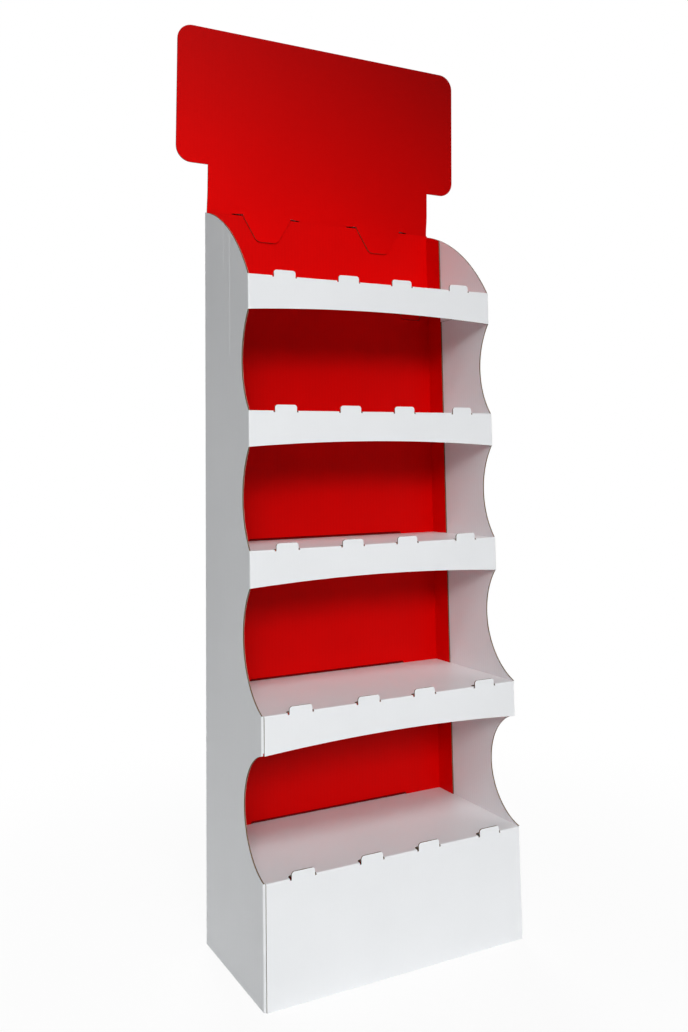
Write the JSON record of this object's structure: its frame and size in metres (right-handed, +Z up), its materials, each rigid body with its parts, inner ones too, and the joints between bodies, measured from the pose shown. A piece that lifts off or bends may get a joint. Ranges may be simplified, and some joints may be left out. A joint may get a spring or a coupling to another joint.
{
  "type": "point of sale display stand",
  "caption": "Free-standing folded board display stand with open shelves between scalloped side panels, a closed base and a wide header card.",
  "frame": {"origin": "on the floor, in the middle of the stand's bounding box", "axes": "+Z up, the open front faces -Y, +X to the right seen from the front"},
  "size_m": [0.622, 0.266, 1.686],
  "materials": {
    "white_lined_board": "clay-coated white liner on corrugated board, soft satin",
    "white_shelf_board": "clay-coated white liner with a slight gloss",
    "red_printed_lining": "solid red print, satin varnish",
    "red_printed_header": "solid deep red print, satin varnish",
    "brown_board": "uncoated brown kraft, matt"
  },
  "bodies": {
    "root": {"body_shell": "white_lined_board", "back_liner": "red_printed_lining", "header_card": "red_printed_header", "shelf_1": "white_shelf_board", "shelf_2": "white_shelf_board", "shelf_3": "white_shelf_board", "shelf_4": "white_shelf_board", "base_front": "white_shelf_board", "base_riser": "brown_board"}
  },
  "joints": []
}
